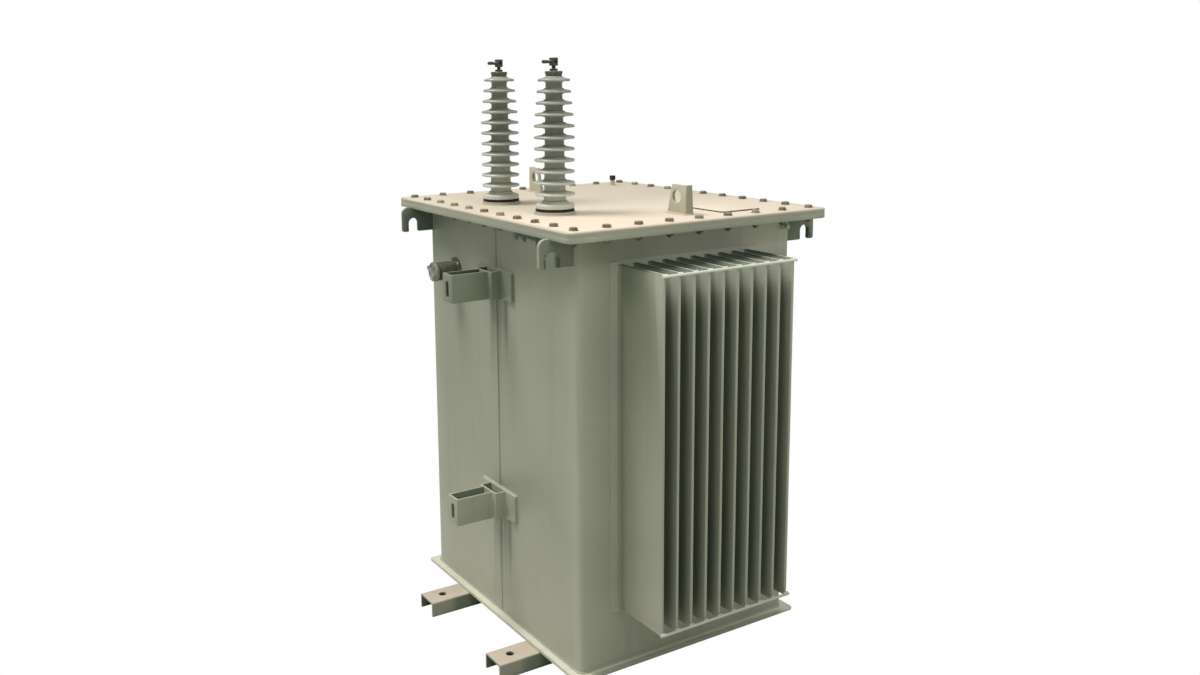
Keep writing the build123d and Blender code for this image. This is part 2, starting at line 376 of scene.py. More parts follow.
def joined(*parts):
    """Several bmeshes as one."""
    whole = bmesh.new()
    for part in parts:
        mesh = bpy.data.meshes.new("part")
        part.to_mesh(mesh)
        part.free()
        whole.from_mesh(mesh)
        bpy.data.meshes.remove(mesh)
    return whole


def cooked(made, *spent):
    """What an object's modifiers make of it, as a bmesh. It and the objects spent on it go."""
    made.update_tag()
    mesh = bpy.data.meshes.new_from_object(made.evaluated_get(bpy.context.evaluated_depsgraph_get()))
    whole = bmesh.new()
    whole.from_mesh(mesh)
    for used in (made, *spent):
        bpy.data.objects.remove(used)
    return whole


def loose(name, bm, material=None):
    """A bare object from a bmesh, with faces outward and smooth up to a crease."""
    bmesh.ops.recalc_face_normals(bm, faces=bm.faces)
    mesh = bpy.data.meshes.new(name)
    bm.to_mesh(mesh)
    bm.free()
    if material:
        mesh.materials.append(material)
    mesh.polygons.foreach_set("use_smooth", [True] * len(mesh.polygons))
    mesh.set_sharp_from_angle(angle=math.radians(38))
    return in_scene(name, mesh)


def fit(name, bm, material, slot, *nodes, body="transformer"):
    """Fix a finished piece to its body, in place of its plain solids."""
    made = loose(name, bm, material)
    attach(made, body)
    if nodes:
        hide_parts(*nodes)


def bored(bm, *cutters):
    """A bmesh with others cut out of it."""
    body = loose("blank", bm)
    tool = loose("cutter", joined(*cutters))
    cut = body.modifiers.new("bore", "BOOLEAN")
    cut.operation = "DIFFERENCE"
    cut.solver = "EXACT"
    cut.object = tool
    return cooked(body, tool)


def skid_shade(place, facing):
    """Painted shadow of the base plate's ledge on the skids' sides, and painted shade up inside the channels.
    """
    low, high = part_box("skid_right")
    middle, clear = (low.x + high.x) / 2, (high.x - low.x) / 2 - web
    # Painted shade up inside the channel.
    inside = fall(size_of(size_of(place[0]) - middle), clear + 0.001, clear + 0.003)
    inside = inside * fall(place[2], high.z - 0.005, high.z - 0.003) * 0.8
    # Painted shadow of the ledge on the skids' sides near the base plate.
    ledge_shadow = fall(size_of(place[1]), 0.40, 0.43) * fall(facing[2], 0.5, 0.9) * 0.65
    return most(inside, ledge_shadow)


skid_brown, skid_brown_worn = (0.235, 0.225, 0.175, 1), (0.20, 0.19, 0.15, 1)
web, bolt_radius, bolt_inward = 0.006, 0.011, 0.052
skid_paint = paint("skid_enamel", skid_brown, skid_brown_worn, 0.44, dust=0.63, grime=0.15, dirt_and_shade=skid_shade)
for hand in ("left", "right"):
    low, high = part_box("skid_" + hand)
    middle, half = (low.x + high.x) / 2, (high.x - low.x) / 2
    channel = rounded([
        (-half, 0, 0.001), (-half + web, 0, 0.002), (-half + web, high.z - web, 0.004),
        (half - web, high.z - web, 0.004), (half - web, 0, 0.002), (half, 0, 0.001),
        (half, high.z, 0.007), (-half, high.z, 0.007),
    ])
    beam = put(slab(channel, high.y - low.y, 0.0006), (middle, high.y, 0), *to_pole)
    drills = []
    for y in (low.y + bolt_inward, high.y - bolt_inward):
        drill = turned([(0, 0.02), (bolt_radius, 0.02), (bolt_radius, 0.06), (0, 0.06)], 28)
        drills.append(put(drill, (middle, y, 0)))
    fit("skid_channel_" + hand, bored(beam, *drills), skid_paint, "skid_paint", "skid_" + hand)

# Base plate: thick steel plate welded under the tank and onto the skids, with its corners eased and a
# ledge all round. Its paint is paler than theirs, with painted shade on the ledge below the fins.
low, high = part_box("base_plate")
ledge = put(slab(oblong(low.x, low.y, high.x, high.y, 0.005), high.z - low.z, 0.0012), (0, 0, low.z))


def shade_below_fins(place, facing):
    """Painted shade on the ledge below the fins, where they shadow it."""
    return fade(size_of(place[0]), 0.41, 0.43) * fall(size_of(place[1]), 0.30, 0.35) * 0.6


base_pale, base_pale_worn = (0.63, 0.62, 0.47, 1), (0.56, 0.555, 0.43, 1)
base_paint = paint("base_enamel", base_pale, base_pale_worn, 0.44, dust=0.3, grime=0.15, dirt_and_shade=shade_below_fins)
fit("base_ledge", ledge, base_paint, "skid_paint", "base_plate")

# Tank: sheet steel folded round the corners and welded up the middle of each long side. The flat
# sides pull in a little near the seam and between the welds, as thin sheet does.
tank_low, tank_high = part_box("tank_body")


def on_pole_side(place):
    """1 on the tank's wall that faces the pole, and 0 elsewhere."""
    wall = tank_low.y
    return band(place[1], (wall - 0.03, wall - 0.02), (wall + 0.002, wall + 0.008))


def tank_painted_light(place, facing):
    """Painted light: the tank's upright corners, the upper right of the pole side wall under the rim and
    the strip above the fins, made paler as if lit.
    """
    corners = fade(size_of(place[0]), 0.32, 0.40) * fade(size_of(place[1]), 0.26, 0.34) * 0.11
    right_end = fade(place[0], 0.05, 0.2) * fade(place[2], 1.02, 1.13) * on_pole_side(place) * 0.22
    ends = band(size_of(place[0]), (0.40, 0.405), (0.42, 0.43))
    over_fins = ends * fade(place[2], 1.06, 1.12) * fade(place[1], -0.28, -0.05) * 0.85
    return most(corners, right_end, over_fins)


def leaks_and_shade(place, facing):
    """On the pole side: sealant run down from the rim, painted shade of the cover at one upper end, and
    darker streaks below the brackets, partly dirt and partly painted shadow of the brackets.
    """
    at = place[0].node("ShaderNodeTexCoord", output="Object")
    ragged = place[2] + clouds(at, 45.0, 4.0, stretch=(1.0, 1.0, 0.7)) * 0.09
    spill = band(place[0], (0.085, 0.12), (0.25, 0.28)) * fade(ragged, 1.182, 1.194) * 0.97
    # Painted shade: the cover's shadow on the upper left of the wall.
    left_end = fall(place[0], -0.33, -0.05) * fade(place[2], 1.0, 1.16) * 0.3
    streaks = 0.12 + fade(clouds(at, 1.0, 4.0, stretch=(70.0, 70.0, 1.5), seed=4.0), 0.42, 0.62) * 0.3
    dark_band = band(place[0], (0.036, 0.046), (0.054, 0.064)) * 0.5
    share = most(spill, left_end)
    # Below each bracket: dirt streaks and a dark band, partly painted shadow of the bracket.
    for level in ("lower", "upper"):
        low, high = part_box("bracket_saddle_" + level)
        below = band(place[2], (low.z - 0.34, low.z - 0.03), (low.z - 0.008, low.z + 0.002))
        column = fall(size_of(place[0]), high.x - 0.01, high.x + 0.005) * streaks
        share = most(share, below * (column + dark_band * fade(place[2], low.z - 0.26, low.z - 0.06)))
    return share * on_pole_side(place)


tank_green, tank_green_worn = (0.335, 0.34, 0.262, 1), (0.29, 0.297, 0.23, 1)
tank_paint = paint(
    "tank_enamel", tank_green, tank_green_worn, 0.36, grime=0.1, dirt_and_shade=leaks_and_shade, painted_light=tank_painted_light,
)
corner_radius = 0.016


def tank_outline(steps):
    """The tank seen from above."""
    return oblong(tank_low.x, tank_low.y, tank_high.x, tank_high.y, corner_radius, steps)


levels, hollow, spacing = 46, 0.0009, 0.03
girth = []
turns = tank_outline(7)
for i, point in enumerate(turns):
    ahead = turns[(i + 1) % len(turns)]
    parts = max(1, round((ahead - point).length / spacing))
    girth += [point.lerp(ahead, k / parts) for k in range(parts)]
shell = bmesh.new()
rings = []
for row in range(levels + 1):
    share = row / levels
    z = tank_low.z + (tank_high.z - tank_low.z) * share
    ring = []
    for point in girth:
        on_long_side = abs(abs(point.y) - tank_high.y) < 1e-6
        across = abs(point.x) / tank_high.x if on_long_side else abs(point.y) / tank_high.y
        belly = max(0.0, 1 - across ** 4) * math.sin(math.pi * share) ** 0.6
        ripple = math.sin(point.x * 9.1 + point.y * 7.3 + z * 6.4) * math.sin(z * 11.0 + point.x * 4.0)
        pull = hollow * belly * (0.55 + 0.45 * ripple)
        if abs(point.x / tank_high.x) > abs(point.y / tank_high.y):
            place = (point.x - math.copysign(pull, point.x), point.y, z)
        else:
            place = (point.x, point.y - math.copysign(pull, point.y), z)
        ring.append(shell.verts.new(place))
    rings.append(ring)
bridge(shell, rings, capped=True)
fit("tank_shell", shell, tank_paint, "tank_paint", "tank_body")

# Welds: beads laid by hand along every joint of the tank. Each bead is a path swept with a small
# round whose width swells at each pass of the rod.
def new_tree(name, made, **inputs):
    """An empty node tree for a modifier, its inputs' identifiers, and a wire on its first input."""
    tree = bpy.data.node_groups.new(name, "GeometryNodeTree")
    sockets = {}
    for title, kind in inputs.items():
        socket = tree.interface.new_socket(title, in_out="INPUT", socket_type="NodeSocket" + kind)
        sockets[title] = socket.identifier
    tree.interface.new_socket(made, in_out="OUTPUT", socket_type="NodeSocketGeometry")
    return tree, sockets, Wire(tree).node("NodeGroupInput")


def with_tree(made, tree, sockets, **values):
    """Give an object a modifier that runs a node tree with these inputs."""
    nodes = made.modifiers.new(tree.name, "NODES")
    nodes.node_group = tree
    for title, value in values.items():
        nodes[sockets[title]] = value


bead_inputs = {"Path": "Geometry", "Width": "Float", "Pass": "Float", "Paint": "Material"}
bead_tree, bead_sockets, given = new_tree("weld_bead", "Bead", **bead_inputs)
width, swell = given["Width"], given["Pass"]
path = given.node("GeometryNodeResampleCurve", {"Curve": given, "Length": swell * 0.25}, mode="LENGTH")
along = given.node("GeometryNodeSplineParameter", output="Length")
position = given.node("GeometryNodeInputPosition")
wander = given.node("ShaderNodeTexNoise", {"Vector": position, "Scale": 60.0})
pulse = given.maths("SINE", along * (2 * math.pi) * given.maths("DIVIDE", 1.0, swell))
size = 0.86 + pulse * 0.1 + wander * 0.25
path = given.node("GeometryNodeSetCurveRadius", {"Curve": path, "Radius": size})
rod = given.node("GeometryNodeCurvePrimitiveCircle", {"Resolution": 8, "Radius": width})
bead = given.node("GeometryNodeCurveToMesh", {"Curve": path, "Profile Curve": rod, "Fill Caps": True})
bead = given.node("GeometryNodeRealizeInstances", {"Geometry": bead})
painted = {"Geometry": bead, "Material": given["Paint"]}
bead = given.node("GeometryNodeSetMaterial", painted)
given.feed(bead_tree.nodes.new("NodeGroupOutput"), {0: bead})


def weld(name, paths, width, material, slot="tank_paint", every=0.006, closes=False):
    """A painted bead along each path of points."""
    line = bpy.data.curves.new(name, "CURVE")
    line.dimensions = "3D"
    for points in paths:
        spline = line.splines.new("POLY")
        spline.points.add(len(points) - 1)
        for point, place in zip(spline.points, points):
            point.co = (*place, 1)
        spline.use_cyclic_u = closes
    holder = in_scene(name, line)
    with_tree(holder, bead_tree, bead_sockets, Width=width, Pass=every, Paint=material)
    fit(name, cooked(holder), material, slot)


def ring_weld(name, points, width, material, slot="tank_paint", every=0.006):
    """One bead that closes on itself."""
    weld(name, [points], width, material, slot, every, closes=True)


def at_height(outline, z):
    """The points of a flat outline at one height."""
    return [(p.x, p.y, z) for p in outline]


ring_weld("tank_foot_weld", at_height(tank_outline(6), tank_low.z), 0.0042, tank_paint)
seams = [[(0.0, face, tank_low.z), (0.0, face, tank_high.z - 0.012)] for face in (tank_low.y, tank_high.y)]
weld("tank_side_seams", seams, 0.0024, tank_paint)

# Flange and gasket: a flat steel rim welded round the mouth of the tank, and a cork and rubber
# gasket pressed between it and the cover. The enamel was sprayed over all three together.
flange_low, flange_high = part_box("tank_flange")
gasket_low, gasket_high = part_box("cover_gasket")


def rim(low, high, radius):
    """A rounded outline round two corners of a box."""
    return oblong(low.x, low.y, high.x, high.y, radius, 8)


rim_low, outer_radius = flange_low.z - 0.004, 0.022
mouth = list(reversed(rim(tank_low, tank_high, corner_radius)))
flange_outline = rim(flange_low, flange_high, outer_radius)
flange = put(slab(flange_outline, flange_high.z - rim_low, 0.0016, [mouth]), (0, 0, rim_low))
fit("tank_rim", flange, tank_paint, "tank_paint", "tank_flange")
ring_weld("tank_rim_weld", at_height(tank_outline(6), rim_low), 0.0038, tank_paint)

gasket_inset, sprayed = Vector((0.0165, 0.0165, 0)), Vector((0.0012, 0.0012, 0))
gasket_hole = list(reversed(rim(tank_low + gasket_inset, tank_high - gasket_inset, corner_radius)))
gasket_outline = rim(gasket_low - sprayed, gasket_high + sprayed, outer_radius - 0.0003)
packing = slab(gasket_outline, gasket_high.z - gasket_low.z + 0.002, 0.0012, [gasket_hole])
put(packing, (0, 0, gasket_low.z - 0.001))
packing_paint = paint("packing_enamel", (0.36, 0.34, 0.26, 1), (0.32, 0.30, 0.23, 1), 0.55)
fit("cover_packing", packing, packing_paint, "gasket_rubber", "cover_gasket")


# Cover: one flat steel plate with a rounded top edge, bolted down over the gasket. Its coat is paler
# than the tank's, with dust on it, painted shade toward the tap changer's end and a darker band
# along its edge.
def cover_shade_and_edge(place, facing):
    """Painted shade on the cover, more toward the tap changer's end, and a darker band along its edge."""
    border = most(fade(size_of(place[0]), 0.455, 0.475), fade(size_of(place[1]), 0.391, 0.411))
    # Painted shade, deeper toward the tap changer's end.
    toward = fall(place[0], -0.1, 0.3)
    return most(toward * 0.24, border * 0.3) * fade(facing[2], 0.5, 0.9)


cover_cream, cover_cream_worn = (0.445, 0.405, 0.315, 1), (0.415, 0.375, 0.29, 1)
cover_paint = paint("cover_enamel", cover_cream, cover_cream_worn, 0.42, dust=0.9, coat=0.04, dirt_and_shade=cover_shade_and_edge)
cover_low, cover_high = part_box("cover_plate")
cover_outline = rim(cover_low, cover_high, outer_radius)
lid = put(slab(cover_outline, cover_high.z - cover_low.z, 0.003, steps=3), (0, 0, cover_low.z))
fit("cover_lid", lid, cover_paint, "cover_paint", "cover_plate")

# Cover bolts: M12 set screws with washers, heads up, through the cover and the rim, each with a
# nut under the rim. They are zinc plated, gone dull brown, and their heads lie at any angle.
scatter_inputs = {
    "Places": "Geometry", "Piece": "Object", "Turn": "Float", "Warp": "Float", "Finish": "Material",
}
scatter_tree, scatter_sockets, given = new_tree("scatter", "Pieces", **scatter_inputs)
piece = given.node("GeometryNodeObjectInfo", {"Object": given["Piece"]}, "Geometry")
turn_ends = {2: 0.0, 3: given["Turn"], "Seed": 11}
turn = given.node("FunctionNodeRandomValue", turn_ends, 1, data_type="FLOAT")
spin = given.node("ShaderNodeCombineXYZ", {"Z": turn})
spun = given.node("FunctionNodeEulerToRotation", {0: spin})
spread = given.node("GeometryNodeInputNamedAttribute", {"Name": "spread"}, data_type="FLOAT")
wide = given.node("ShaderNodeCombineXYZ", {"X": spread, "Y": spread, "Z": 1.0})
on_places = {"Points": given, "Instance": piece, "Rotation": spun, "Scale": wide}
copies = given.node("GeometryNodeInstanceOnPoints", on_places)
copies = given.node("GeometryNodeRealizeInstances", {"Geometry": copies})
field = {"Vector": given.node("GeometryNodeInputPosition"), "Scale": 5.0, "Detail": 1.0}
field = given.node("ShaderNodeTexNoise", field, 1)
field = given.node("ShaderNodeVectorMath", {0: field, 1: (0.5, 0.5, 0.5)}, operation="SUBTRACT")
shift = {0: field, "Scale": given["Warp"]}
shift = given.node("ShaderNodeVectorMath", shift, operation="SCALE")
shift = given.node("ShaderNodeVectorMath", {0: shift, 1: (0.0, 1.0, 0.0)}, operation="MULTIPLY")
copies = given.node("GeometryNodeSetPosition", {"Geometry": copies, "Offset": shift})
finished = {"Geometry": copies, "Material": given["Finish"]}
copies = given.node("GeometryNodeSetMaterial", finished)
given.feed(scatter_tree.nodes.new("NodeGroupOutput"), {0: copies})


def scatter(bm, places, turn, material, warp=0.0, spreads=None):
    """Copies of one piece, each turned at random about Z, spread in X and Y, and warped along Y."""
    pattern = loose("pattern", bm)
    spots = bpy.data.meshes.new("spots")
    spots.from_pydata([tuple(p) for p in places], [], [])
    spread = spots.attributes.new("spread", "FLOAT", "POINT")
    spread.data.foreach_set("value", spreads or [1.0] * len(places))
    holder = in_scene("spots", spots)
    with_tree(holder, scatter_tree, scatter_sockets, Piece=pattern, Turn=turn, Warp=warp, Finish=material)
    return cooked(holder, pattern)


def hexagon(flats, depth, chamfer):
    """A hexagon head or nut on z = 0, its corners turned down at the top."""
    bm = bmesh.new()
    count, crest = 36, flats / 2 / math.cos(math.pi / 6)
    rings = []
    for z, reach in ((0, crest), (depth - chamfer * 0.6, crest), (depth, flats / 2 - chamfer * 0.35)):
        ring = []
        for k in range(count):
            t = 2 * math.pi * k / count
            edge = min(reach, flats / 2 / math.cos((t + math.pi / 6) % (math.pi / 3) - math.pi / 6))
            ring.append(bm.verts.new((edge * math.cos(t), edge * math.sin(t), z)))
        rings.append(ring)
    bridge(bm, rings, capped=True)
    return bm


bolt_metal, shader, at = new_finish("bolt_zinc")
dull = fade(clouds(at, 120.0, 4.0), 0.35, 0.7)
bolt_colour = tint(dull, (0.24, 0.205, 0.155, 1), (0.115, 0.094, 0.068, 1))
bolt_colour = tint(fade(facing_of(at)[2], 0.3, 0.95) * 0.5, bolt_colour, (0.36, 0.32, 0.25, 1))
newer = fade(clouds(at, 9.0, 0.0, seed=6.0), 0.5, 0.62) * 0.6
bolt_colour = tint(newer, bolt_colour, (0.42, 0.37, 0.285, 1))
at.feed(shader, {"Base Color": bolt_colour, "Roughness": 0.42 + dull * 0.25, "Metallic": 0.5 - dull * 0.3})

columns, rows = 11, 9
pitch_x, pitch_y = 0.088, 0.094
edge_x, edge_y = pitch_x * (columns - 1) / 2, pitch_y * (rows - 1) / 2
bolt_places = []
for i in range(columns):
    for j in range(rows):
        if i in (0, columns - 1) or j in (0, rows - 1):
            bolt_places.append((i * pitch_x - edge_x, j * pitch_y - edge_y))
washer_thick, across_flats, head_tall, nut_tall, chamfer = 0.0018, 0.0185, 0.0062, 0.0075, 0.0018


def washer(radius):
    """A flat washer on z = 0, its edges dulled by the plating."""
    return turned([
        (0, 0), (radius - 0.0004, 0), (radius, 0.0004), (radius, washer_thick - 0.0004),
        (radius - 0.0004, washer_thick), (0, washer_thick),
    ], 28)


any_turn = 6.0
shank = [(0, -0.004)]
for k in range(3):
    shank += [(0.0052, -0.004 + k * 0.0016), (0.0058, -0.0032 + k * 0.0016)]
shank += [(0.0052, 0.001), (0, 0.001)]
head = joined(washer(0.0116), put(hexagon(across_flats, head_tall, chamfer), (0, 0, washer_thick)))
nut = joined(
    put(washer(0.0116), (0, 0, 0), *downward),
    put(hexagon(across_flats, nut_tall, chamfer), (0, 0, -washer_thick), *downward),
    put(turned(shank, 16), (0, 0, -0.0092)),
)
heads = scatter(head, [(x, y, cover_high.z) for x, y in bolt_places], any_turn, bolt_metal)
nuts = scatter(nut, [(x, y, rim_low) for x, y in bolt_places], any_turn, bolt_metal)
fit("cover_bolts", joined(heads, nuts), bolt_metal, "terminal_metal")

# Lifting hooks: four profiled plates on edge under the rim, flame cut and dressed round, welded
# down both sides to the tank. Each has a notch for a sling, open at the bottom.
hook_reach, hook_leg, notch_wide, notch_deep, notch_radius = 0.100, 0.019, 0.030, 0.040, 0.0149
notch_in, notch_end = hook_reach - hook_leg - notch_wide, hook_reach - hook_leg
notch_out, notch_top = 0.409, 1.1255


def hook_shade_and_wear(place, facing):
    """Painted shade on a hook's flat sides and on the hooks at the tap changer's end, and a darker notch
    edge, partly worn paint and partly painted shadow.
    """
    at = place[0].node("ShaderNodeTexCoord", output="Object")
    across, above = size_of(place[1]) - notch_out, place[2] - notch_top
    above = above.maths("MAXIMUM", above, 0.0)
    reach = across.maths("SQRT", across * across + above * above)
    # Round the notch: worn paint, and painted shadow in the notch.
    notch_patches = fade(clouds(at, 110.0, 2.0, seed=9.0), 0.47, 0.55) * fall(reach, 0.022, 0.031) * 0.95
    notch_rim = fall(reach + clouds(at, 90.0, 3.0) * 0.012, 0.0225, 0.0265) * 0.85
    # Painted shade on the flat sides.
    sides = fade(size_of(facing[0]), 0.6, 0.9) * 0.48
    # Painted shade of the cover on the hooks at the tap changer's end.
    shaded = fall(place[0], -0.2, 0.0) * 0.75
    return most(notch_patches, notch_rim, sides, shaded)


hook_paint = paint("hook_enamel", tank_green, tank_green_worn, 0.36, grime=0.2, dirt_and_shade=hook_shade_and_wear)
for face, outward in (("pole_side", -1), ("far_side", 1)):
    for hand in ("left", "right"):
        place = "{}_{}".format(face, hand)
        low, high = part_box("lifting_hook_" + place)
        thick, drop = high.x - low.x, high.z - low.z
        wall = outward * tank_high.y
        profile = rounded([
            (-0.002, 0, 0), (-0.002, -drop, 0.0), (notch_in, -drop, 0.003),
            (notch_in, -drop + notch_deep, notch_radius), (notch_end, -drop + notch_deep, notch_radius),
            (notch_end, -drop, 0.004), (hook_reach, -drop, 0.006),
            (hook_reach, -0.0005, 0.019), (hook_reach - 0.05, 0, 0),
        ], 7)
        plate = slab(profile, thick, 0.0017)
        put(plate, (low.x if outward > 0 else high.x, wall, high.z), (0, outward, 0), (0, 0, 1))
        fit("hook_" + place, plate, hook_paint, "tank_paint", "lifting_hook_" + place)
        sides = []
        for x in (low.x, high.x):
            sides.append([(x, wall, high.z - 0.003), (x, wall, low.z + 0.002)])
            sides.append([(x, wall + outward * 0.004, high.z), (x, wall + outward * 0.066, high.z)])
        weld("hook_weld_" + place, sides, 0.0032, tank_paint)


# Cover lugs: each is one plate bent to an angle and welded upright on the cover, with an eye for a
# shackle. Its inner edge leans, and the turned back flange stiffens it.
def lug_flange_shade(place, facing):
    """Painted shade on a lug's turned back flange."""
    return fade(size_of(facing[0]), 0.5, 0.85) * 0.44


lug_cream, lug_cream_worn = (0.49, 0.455, 0.35, 1), (0.455, 0.42, 0.325, 1)
lug_paint = paint("lug_enamel", lug_cream, lug_cream_worn, 0.42, dust=0.5, dirt_and_shade=lug_flange_shade)
lug_thick, lug_lean, eye_radius, eye_across, eye_up = 0.008, 0.020, 0.0175, 0.039, 0.046
for hand, side in (("left", -1), ("right", 1)):
    low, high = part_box("cover_lug_" + hand)
    inner, outer = (low.x, high.x) if side > 0 else (high.x, low.x)
    inner_flange, behind = outer - side * lug_thick, low.y + lug_thick
    tall = high.z - low.z
    bend = [
        (inner, low.y, 0.001), (outer, low.y, 0.009), (outer, high.y, 0.001),
        (inner_flange, high.y, 0.001), (inner_flange, behind, 0.003), (inner, behind, 0.001),
    ]
    if side < 0:
        bend.reverse()
    angle = put(slab(rounded(bend, 7), tall, 0.001), (0, 0, low.z))
    for vertex in angle.verts:
        share = (vertex.co.z - low.z) / tall
        if abs(vertex.co.x - inner) < 0.01:
            vertex.co.x += side * lug_lean * share
        if vertex.co.y > high.y - 0.01:
            vertex.co.y -= 0.005 * share
    eye = turned([(0, 0), (eye_radius, 0), (eye_radius, 0.02), (0, 0.02)], 36)
    put(eye, (inner + side * eye_across, low.y + 0.014, low.z + eye_up), *to_pole)
    fit("lug_" + hand, bored(angle, eye), lug_paint, "cover_paint", "cover_lug_" + hand)
    z = low.z + 0.0005
    foot = [
        [(inner, low.y, z), (outer, low.y, z)],
        [(inner, behind, z), (inner_flange, behind, z)],
        [(outer, low.y, z), (outer, high.y, z)],
    ]
    weld("lug_weld_" + hand, foot, 0.003, cover_paint, "cover_paint")

# Fins: ten hollow sheet envelopes a side, set into a backing panel. Each is folded round at its tip,
# pressed flat and welded along its top and bottom, and flared at its root.
fin_count, fin_pitch = 10, 0.045


def fin_shade(place, facing):
    """Painted shade deep between the fins and at their roots, and painted shadow of the cover on their tops
    and upper faces.
    """
    outward, sideways = size_of(place[0]), size_of(place[1])
    inside = fall(sideways, 0.200, 0.2045) * fall(place[2], 0.96, 1.095)
    gaps = fall(outward, 0.545, 0.586) * inside * (0.55 + fall(place[2], 0.3, 0.7) * 0.14)
    roots = fall(outward, 0.412, 0.440) * 0.45
    tops = fade(place[2], 1.0965, 1.0985) * fall(outward, 0.505, 0.545) * 0.85
    # Painted shadow of the cover over the upper inner part of each fin.
    under_cover_shade = fall(outward, 0.44, 0.545) * fade(place[2], 0.93, 1.08) * 0.5
    return most(gaps, roots, tops, under_cover_shade)


def fin_painted_light(place, facing):
    """Painted light on the outer edges of the fins, wider toward the top, where light from above reaches
    them.
    """
    inward = (1.101 - place[2]) * 0.08
    return fade(size_of(place[0]) - inward, 0.5475, 0.5515) * fade(place[2], 0.65, 1.06) * 0.27


fin_paint = paint(
    "fin_enamel", tank_green, tank_green_worn, 0.36, grime=0.1, dirt_and_shade=fin_shade, painted_light=fin_painted_light,
)


def lower_bar_shade(place, facing):
    """Painted shade on the lower tip bar, which takes less light than the upper one."""
    return fall(place[2], 0.3, 0.9) * 0.3


# The tip bars' pale colour is a painted highlight, where light catches the rods.
lit_bar_paint = paint("lit_bar_enamel", (0.68, 0.675, 0.58, 1), (0.62, 0.615, 0.53, 1), 0.36, dirt_and_shade=lower_bar_shade)
full, pressed, taper, flare = 0.004, 0.0018, 0.034, 0.009
near_end = [0, 0.003, 0.010, 0.018, 0.026, taper, 0.06, 0.12]
for hand, side in (("left", -1), ("right", 1)):
    low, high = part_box("fin_panel_" + hand)
    outline = oblong(low.y, low.z, high.y, high.z, 0.004)
    panel = put(slab(outline, high.x - low.x, 0.0009), (low.x, 0, 0), *to_right)
    fit("panel_" + hand, panel, tank_paint, "tank_paint", "fin_panel_" + hand)
    wall = side * tank_high.x
    ring_weld("panel_weld_" + hand, [(wall, p.x, p.y) for p in outline], 0.0012, tank_paint)

    fins_low, fins_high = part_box("fins_" + hand)
    depth, tall = fins_high.x - fins_low.x, fins_high.z - fins_low.z
    fin = bmesh.new()
    rings = []
    middle_stops = [near_end[-1] + (tall - 2 * near_end[-1]) * k / 12 for k in range(1, 12)]
    for z in near_end + middle_stops + [tall - stop for stop in reversed(near_end)]:
        share = min(1.0, min(z, tall - z) / taper)
        half = pressed + (full - pressed) * share * share * (3 - 2 * share)
        edge = [(-0.001, half + flare)]
        for t in (0.4, 0.8, 1.2, math.pi / 2):
            edge.append((flare - flare * math.cos(t), half + flare - flare * math.sin(t)))
        edge += [(depth * k / 6, half) for k in range(1, 6)]
        edge += [(depth - half + half * math.sin(t), half * math.cos(t)) for t in (0.0, 0.35, 0.75, 1.15)]
        loop = edge + [(depth, 0)] + [(x, -y) for x, y in reversed(edge)]
        rings.append([fin.verts.new((x, y, z)) for x, y in loop])
    bridge(fin, rings, capped=True)
    if side < 0:
        put(fin, (0, 0, 0), (-1, 0, 0), (0, -1, 0))
    root = fins_low.x if side > 0 else fins_high.x
    middle = (fins_low.y + fins_high.y) / 2
    first = middle - fin_pitch * (fin_count - 1) / 2
    places = [(root, first + fin_pitch * k, fins_low.z) for k in range(fin_count)]
    bank = scatter(fin, places, 0.0, fin_paint, warp=0.0016)
    fit("fin_bank_" + hand, bank, fin_paint, "tank_paint", "fins_" + hand)
    ends = []
    for x, y, z in places:
        for level in (fins_low.z + 0.0006, fins_high.z - 0.0006):
            ends.append([(x, y, level), (x + side * (depth - 0.004), y, level)])
    weld("fin_end_welds_" + hand, ends, 0.0021, fin_paint, every=0.008)

    # Tip bars: a round rod along the tips at the top and the bottom, tacked to every fin.
    bar_low, bar_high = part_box("fin_tip_bars_" + hand)
    radius, length = (bar_high.x - bar_low.x) / 2, bar_high.y - bar_low.y
    half_bar = [(0, 0), (radius * 0.8, 0), (radius, 0.0006)]
    bar = half_bar + [(reach, length - z) for reach, z in reversed(half_bar)]
    rods = []
    for level in (bar_low.z + radius, bar_high.z - radius):
        rods.append(put(turned(bar, 18), ((bar_low.x + bar_high.x) / 2, bar_high.y, level), *to_pole))
    fit("tip_bars_" + hand, joined(*rods), lit_bar_paint, "tank_paint", "fin_tip_bars_" + hand)
    tacks = []
    tip = bar_low.x if side > 0 else bar_high.x
    for level in (bar_low.z + radius * 1.4, bar_high.z - radius * 0.4):
        for x, y, z in places:
            tacks.append([(tip, y - 0.007, level), (tip, y + 0.007, level)])
    weld("tip_bar_tacks_" + hand, tacks, 0.0038, lit_bar_paint, every=0.005)

# Brackets: on each of two pads welded to the wall stands a short wide channel, and on its web a
# longer narrow one, whose front web is slotted for the bolt that hangs the transformer on its pole.
def bracket_paint(name, inner_half=0.0, inner_face=0.0):
    """The tank's enamel, with painted shade high up under the cover and deep inside a channel."""
    def bracket_shade(place, facing):
        # Painted shade, deeper high up under the cover.
        under_cover_shade = fade(place[2], 0.80, 0.97) * 0.42
        if not inner_half:
            return under_cover_shade
        # Painted shade inside the channel.
        inside = fall(size_of(place[0]), inner_half + 0.001, inner_half + 0.003)
        inside = inside * (0.55 + fade(place[2], 0.5, 0.9) * 0.38)
        inside = inside * fade(place[1], inner_face - 0.003, inner_face - 0.001)
        return most(inside, under_cover_shade)
    return paint(name, tank_green, tank_green_worn, 0.36, dust=0.4, grime=0.1, dirt_and_shade=bracket_shade)


